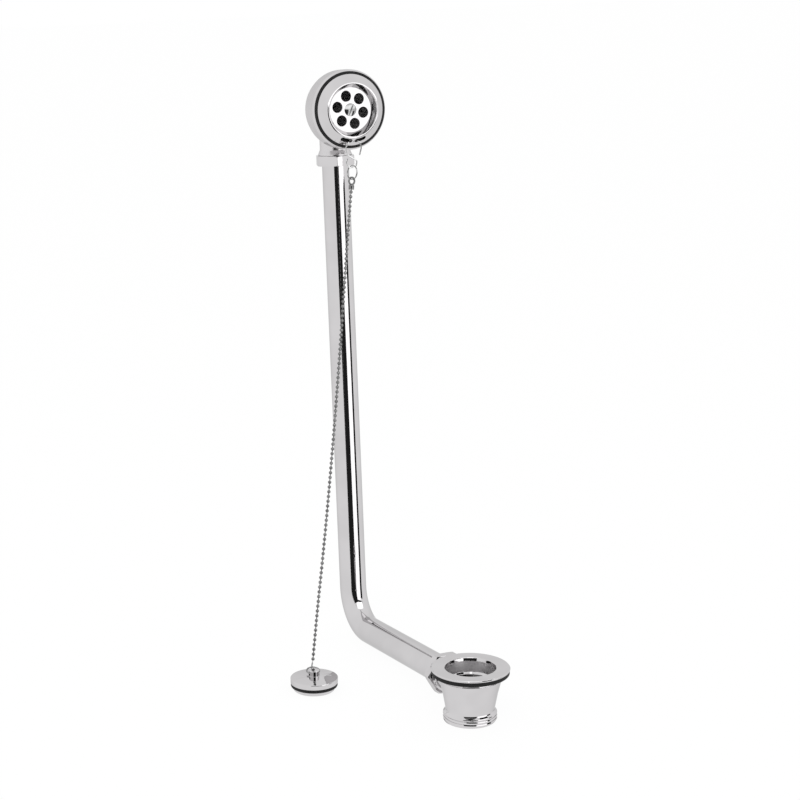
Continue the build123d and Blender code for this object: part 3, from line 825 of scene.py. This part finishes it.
# Split ring: two close turns of plated wire, wound over the hook's eye so that the chain can be
# changed. The eyelet of the chain hangs in it.
chain_heading = radians(40.8)
top_lean = radians(13.0)
ring_turn = radians(73.5)
eye_side = -2.0
eye_rest = head + side_way * eye_side + riser_way * eye_foot + face_way * hook_hang
ring_drop = 4.8
coil_radius = 6.42
coil_pitch = 0.62
coil_steps = 56
chain_level = Vector((sin(chain_heading), cos(chain_heading), 0))
hang_way = chain_level * -sin(top_lean) - up_way * cos(top_lean)
ring_tangent = hang_way.cross(face_way * cos(ring_turn) - side_way * sin(ring_turn)).normalized()
ring_centre = eye_rest + hang_way * ring_drop
ring_place = placed(ring_centre, hang_way, ring_tangent.cross(hang_way))
coil = []
for step in range(2 * coil_steps + 1):
    turns = step / coil_steps
    x = coil_radius * cos(2 * pi * turns)
    y = coil_radius * sin(2 * pi * turns)
    coil.append(ring_place @ Vector((x, y, coil_pitch * (turns - 1))))
ring_wire = grey_plate("ring_plate", low=0.30, high=0.42, dull=0.12)
split_ring = bent_wire("chain_split_ring", coil, closed=False, radius=0.00036, finish=ring_wire)
fitted(split_ring, "steel_wire", "split_ring")


# Chain coupling: a stamped eyelet on the split ring, folded into a small cup that grips the chain's
# first bead. Plated brass.
# This plating's dark grey is partly painted reflection: it stands in for the dark surroundings that the
# small balls and cup mirror.
chain_wire_painted_dark = grey_plate("chain_plate_painted_dark", low=0.16, high=0.28, dull=0.08)
eyelet_drop = 7.85
cup_drop = 11.45
eyelet_place = placed(ring_centre + hang_way * eyelet_drop, hang_way, ring_tangent)
eyelet_rims = [round_rim(0, 0, radius=4.1, steps=48), round_rim(0, 0, radius=2.4, steps=32)]
eyelet = punched("coupling_eyelet", eyelet_rims, thick=1.2, ease=0.3, place=eyelet_place, finish=chain_wire_painted_dark)
cup_place = placed(ring_centre + hang_way * cup_drop, ring_tangent, hang_way)
coupling_outline = rounded([
    (0, 0, 0),
    (2.5, 0, 0.9),
    (2.5, 4.2, 0.2),
    (2.0, 4.2, 0.2),
    (2.0, 0.5, 0.4),
    (0, 0.5, 0),
])
coupling_cup = made("coupling_cup", turned(coupling_outline, cup_place, steps=48), chain_wire_painted_dark)
fitted(eyelet, "steel_wire", "chain_coupling")
fitted(coupling_cup, "steel_wire", "chain_coupling")


# Bead chain: a hundred hollow plated balls strung on short wire links, which hang slack from the
# coupling to the plug. It is one limp cord, and each ball can turn on its link.
def chain_tree():
    """Balls set evenly along a line, with the link wire through them."""
    tree = bpy.data.node_groups.new("bead_chain", "GeometryNodeTree")
    tree.interface.new_socket("Geometry", in_out="INPUT", socket_type="NodeSocketGeometry")
    tree.interface.new_socket("Beads", in_out="INPUT", socket_type="NodeSocketInt")
    for label in ("Bead radius", "Wire radius"):
        tree.interface.new_socket(label, in_out="INPUT", socket_type="NodeSocketFloat")
    tree.interface.new_socket("Finish", in_out="INPUT", socket_type="NodeSocketMaterial")
    tree.interface.new_socket("Geometry", in_out="OUTPUT", socket_type="NodeSocketGeometry")
    nodes = tree.nodes
    links = tree.links
    start = nodes.new("NodeGroupInput")
    end = nodes.new("NodeGroupOutput")
    line = nodes.new("GeometryNodeMeshToCurve")
    links.new(start.outputs["Geometry"], line.inputs["Mesh"])
    spaced = nodes.new("GeometryNodeResampleCurve")
    links.new(line.outputs["Curve"], spaced.inputs["Curve"])
    links.new(start.outputs["Beads"], spaced.inputs["Count"])
    ball = nodes.new("GeometryNodeMeshUVSphere")
    ball.inputs["Segments"].default_value = 12
    ball.inputs["Rings"].default_value = 8
    links.new(start.outputs["Bead radius"], ball.inputs["Radius"])
    tangent = nodes.new("GeometryNodeInputTangent")
    aim = nodes.new("FunctionNodeAlignRotationToVector")
    aim.axis = "Z"
    links.new(tangent.outputs["Tangent"], aim.inputs["Vector"])
    strung = nodes.new("GeometryNodeInstanceOnPoints")
    links.new(spaced.outputs["Curve"], strung.inputs["Points"])
    links.new(ball.outputs["Mesh"], strung.inputs["Instance"])
    links.new(aim.outputs["Rotation"], strung.inputs["Rotation"])
    section = nodes.new("GeometryNodeCurvePrimitiveCircle")
    section.inputs["Resolution"].default_value = 8
    links.new(start.outputs["Wire radius"], section.inputs["Radius"])
    string = nodes.new("GeometryNodeCurveToMesh")
    string.inputs["Fill Caps"].default_value = True
    links.new(spaced.outputs["Curve"], string.inputs["Curve"])
    links.new(section.outputs["Curve"], string.inputs["Profile Curve"])
    both = nodes.new("GeometryNodeJoinGeometry")
    links.new(strung.outputs["Instances"], both.inputs["Geometry"])
    links.new(string.outputs["Mesh"], both.inputs["Geometry"])
    whole = nodes.new("GeometryNodeRealizeInstances")
    links.new(both.outputs["Geometry"], whole.inputs["Geometry"])
    finish = nodes.new("GeometryNodeSetMaterial")
    links.new(whole.outputs["Geometry"], finish.inputs["Geometry"])
    links.new(start.outputs["Finish"], finish.inputs["Material"])
    links.new(finish.outputs["Geometry"], end.inputs["Geometry"])
    return tree


chain_route = (
    (-0.0047046, 0.2357854, 0.3901166),
    (-0.0121, 0.2284, 0.3484),
    (-0.0188, 0.2208, 0.3061),
    (-0.0260, 0.2127, 0.2640),
    (-0.0335, 0.2041, 0.2220),
    (-0.0415, 0.1950, 0.1802),
    (-0.0501, 0.1853, 0.1387),
    (-0.0592, 0.1749, 0.0974),
    (-0.0691, 0.1637, 0.0565),
    (-0.0798, 0.1516, 0.0161),
    (-0.0908968, 0.1367406, -0.0236473),
)
route = bpy.data.curves.new("chain_route", "CURVE")
route.dimensions = "3D"
route.resolution_u = 12
spline = route.splines.new("NURBS")
spline.points.add(len(chain_route) - 1)
for point, spot in zip(spline.points, chain_route):
    point.co = (*spot, 1)
spline.order_u = 3
spline.use_endpoint_u = True
route_mesh = meshed("chain_route", route)
sizes = {"Beads": 100, "Bead radius": 0.0016, "Wire radius": 0.00045, "Finish": chain_wire_painted_dark}
chain = grown("ball_chain", chain_tree(), route_mesh, **sizes)
fitted(chain, "steel_wire", "bead_chain")


# End link: a small closed loop of plated wire between the chain's last ball and the plug's ring.
# Its ends are pinched together after it is threaded. The place of the plug and of its ring comes first,
# because the link meets the ring.
plug_foot = Vector((-95.6, 123.5, -47.2))
plug_turn = radians(10)
post_radius = 4.9
post_hole = 15.35
plug_ring_radius = 5.75
plug_ring_lean = radians(11)
foot_lean = radians(36)
link_drop = 1.7
link_inside = 5.6
link_radius = 0.00045
plug_way = Vector((cos(plug_turn), -sin(plug_turn), 0))
lean_way = up_way.cross(plug_way) * cos(plug_ring_lean) + up_way * sin(plug_ring_lean)
ring_reach = (plug_ring_radius + sqrt(plug_ring_radius ** 2 - post_radius ** 2)) / 2
plug_ring_centre = plug_foot + up_way * post_hole + lean_way * ring_reach
foot_way = chain_level * sin(foot_lean) + up_way * cos(foot_lean)
link_foot = plug_ring_centre + lean_way * plug_ring_radius - foot_way * link_drop
link_side = foot_way.cross(plug_way).normalized()
link_place = placed(link_foot, foot_way, foot_way.cross(link_side))
link_line = rounded([
    (0.45, -1.35, 0, 1.3),
    (5.95, -1.35, 0, 1.3),
    (5.95, 1.35, 0, 1.3),
    (0.45, 1.35, 0, 1.3),
])
link_points = [link_place @ point for point in link_line]
end_link = bent_wire("chain_closing_link", link_points, closed=True, radius=link_radius, finish=ring_wire)
fitted(end_link, "steel_wire", "chain_end_link")
last_points = [Vector(chain_route[-1]), (link_foot + foot_way * link_inside) * millimetre]
last_wire = bent_wire("chain_last_wire", last_points, closed=False, radius=link_radius, finish=wire)
fitted(last_wire, "steel_wire", "bead_chain")


# Plug ring: a ring of plated wire through the cross hole of the plug's post, fallen back over the
# disc by the pull of the chain.
plug_ring_place = placed(plug_ring_centre, lean_way, plug_way.cross(lean_way))
ring_rim = round_rim(0, 0, radius=plug_ring_radius, steps=72)
loop = [plug_ring_place @ Vector((x, y, 0)) for x, y in ring_rim]
plug_ring = bent_wire("plug_wire_ring", loop, closed=True, radius=0.00065, finish=ring_wire)
fitted(plug_ring, "steel_wire", "plug_ring")


# Plug: a turned and chromed disc with a drilled post, a black rubber ring that seals on the flange's
# seat, and a lower disc held by a countersunk brass screw from below.
plug_place = placed(plug_foot, plug_way, up_way)
disc_outline = rounded([
    (0, 3.6, 0),
    (6.0, 3.6, 0),
    (6.0, 6.9, 0),
    (21.6, 6.9, 0.3),
    (21.6, 11.5, 0.6),
    (post_radius, 13.35, 0.25),
    (post_radius, 18.3, 0.5),
    (0, 18.3, 0),
])
plug_body = made("plug_disc", turned(disc_outline, plug_place, steps=192), chrome)
cross_place = plug_place @ Matrix.Translation((0, 0, post_hole)) @ Matrix.Rotation(pi / 2, 4, "Y")
cross_outline = [(0, -9.0), (2.15, -9.0), (2.15, 9.0), (0, 9.0)]
cross_hole = made("plug_cross_hole", turned(cross_outline, cross_place, steps=48), chrome)
worked(plug_body, cross_hole, "DIFFERENCE")
stud_outline = [(0, 3.0), (2.6, 3.0), (2.6, 10.0), (0, 10.0)]
stud_hole = made("plug_stud_hole", turned(stud_outline, plug_place, steps=48), chrome)
worked(plug_body, stud_hole, "DIFFERENCE")
fitted(plug_body, "chrome", "plug_body")
plug_seal_outline = rounded([
    (6.3, 3.6, 0),
    (21.3, 3.6, 0.9),
    (21.3, 6.9, 0.5),
    (6.3, 6.9, 0),
])
plug_seal = made("plug_rubber_ring", turned(plug_seal_outline, plug_place), rubber)
fitted(plug_seal, "rubber", "plug_seal")
base_outline = rounded([
    (5.0, 0, 0),
    (18.15, 0, 0.3),
    (18.65, 0.5, 0.3),
    (18.65, 3.6, 0.2),
    (2.6, 3.6, 0),
    (2.6, 2.4, 0),
])
plug_base = made("plug_lower_disc", turned(base_outline, plug_place), chrome)
fitted(plug_base, "chrome", "plug_base")
coated("plug_screw", brass)


# Studio: a plain white floor and surround. A dark card in front of the camera, a bright panel to its
# right with dark edges, and a panel overhead draw the strips that bright chrome shows. Only reflections
# see these cards.
def studio_paper():
    """White for the camera with a faint shadow, and plain white paper for the light."""
    finish = bpy.data.materials.new("studio_paper")
    finish.use_nodes = True
    nodes = finish.node_tree.nodes
    links = finish.node_tree.links
    nodes.remove(nodes["Principled BSDF"])
    paper = nodes.new("ShaderNodeBsdfDiffuse")
    paper.inputs["Color"].default_value = (0.9, 0.9, 0.9, 1.0)
    glow = nodes.new("ShaderNodeEmission")
    glow.inputs["Color"].default_value = (1.0, 1.0, 1.0, 1.0)
    ray = nodes.new("ShaderNodeLightPath")
    share = nodes.new("ShaderNodeMath")
    share.operation = "MULTIPLY"
    share.inputs[1].default_value = 0.95
    mix = nodes.new("ShaderNodeMixShader")
    links.new(ray.outputs["Is Camera Ray"], share.inputs[0])
    links.new(share.outputs["Value"], mix.inputs["Fac"])
    links.new(paper.outputs["BSDF"], mix.inputs[1])
    links.new(glow.outputs["Emission"], mix.inputs[2])
    links.new(mix.outputs["Shader"], nodes["Material Output"].inputs["Surface"])
    return finish


def card_finish(name, level):
    """A card or panel that glows evenly at a given level."""
    finish = bpy.data.materials.new(name)
    finish.use_nodes = True
    nodes = finish.node_tree.nodes
    nodes.remove(nodes["Principled BSDF"])
    glow = nodes.new("ShaderNodeEmission")
    glow.inputs["Color"].default_value = (1.0, 1.0, 1.0, 1.0)
    glow.inputs["Strength"].default_value = level
    finish.node_tree.links.new(glow.outputs["Emission"], nodes["Material Output"].inputs["Surface"])
    return finish


floor_height = -0.0472
floor_sheet = bmesh.new()
bmesh.ops.create_grid(floor_sheet, x_segments=1, y_segments=1, size=6.0)
bmesh.ops.translate(floor_sheet, vec=(0, 0, floor_height), verts=floor_sheet.verts)
floor = made("floor", floor_sheet, studio_paper())
floor.visible_glossy = False

view_azimuth = radians(-25.686)
riser_middle = Vector((0, 0.265, 0))
card_reach = 0.7
edge_level = 0.01
panel_level = 1.75
cards = (
    ("dark_card", 0.018, (-12.0, 29.0), (-0.20, 0.72)),
    ("bright_panel", panel_level, (29.0, 62.0), (-0.20, 0.53)),
    ("panel_side", edge_level, (62.0, 79.0), (-0.20, 0.372)),
    ("panel_wing", panel_level, (62.0, 71.1), (0.378, 0.42)),
    ("panel_head", edge_level, (29.0, 79.0), (0.53, 0.72)),
)
panels = []
for name, level, (left, right), (foot, top) in cards:
    card = bmesh.new()
    corners = []
    for degree, height in ((left, foot), (right, foot), (right, top), (left, top)):
        way = view_azimuth + radians(degree)
        spot = riser_middle + Vector((sin(way), -cos(way), 0)) * card_reach
        corners.append(card.verts.new((spot.x, spot.y, height)))
    card.faces.new(corners)
    panels.append(made(name, card, card_finish(name, level)))
overhead_level = 1.9
overhead_height = 0.52
overhead_corners = ((-0.149, -0.212), (0.454, -0.147), (0.267, 0.212), (-0.150, 0.150))
overhead = bmesh.new()
overhead.faces.new([overhead.verts.new((x, y, overhead_height)) for x, y in overhead_corners])
panels.append(made("overhead_panel", overhead, card_finish("overhead_panel", overhead_level)))
for panel in panels:
    panel.visible_camera = False
    panel.visible_diffuse = False
    panel.visible_transmission = False
    panel.visible_shadow = False

world = bpy.data.worlds.new("white_surround")
bpy.context.scene.world = world
world.use_nodes = True
surround = world.node_tree.nodes["Background"]
surround.inputs["Color"].default_value = (1.0, 1.0, 1.0, 1.0)
surround.inputs["Strength"].default_value = 1.0

lamp = bpy.data.lights.new("soft_box", "AREA")
lamp.shape = "DISK"
lamp.size = 1.6
lamp.energy = 18.0
lamp_piece = bpy.data.objects.new("soft_box", lamp)
lamp_piece.location = (-1.2, -1.4, 2.4)
lamp_aim = Vector((0, 0.15, 0.2)) - lamp_piece.location
lamp_piece.rotation_euler = lamp_aim.to_track_quat("-Z", "Y").to_euler()
lamp_piece.visible_glossy = False
bpy.context.collection.objects.link(lamp_piece)

camera = bpy.data.cameras.new("camera")
camera.lens = 104.33
camera.sensor_width = 36.0
camera_piece = bpy.data.objects.new("camera", camera)
camera_piece.location = (-0.88019, -1.68768, 0.74874)
view_drop = radians(14.876)
camera_piece.rotation_euler = (pi / 2 - view_drop, 0, view_azimuth)
bpy.context.collection.objects.link(camera_piece)
bpy.context.scene.camera = camera_piece
bpy.context.scene.view_settings.view_transform = "Standard"
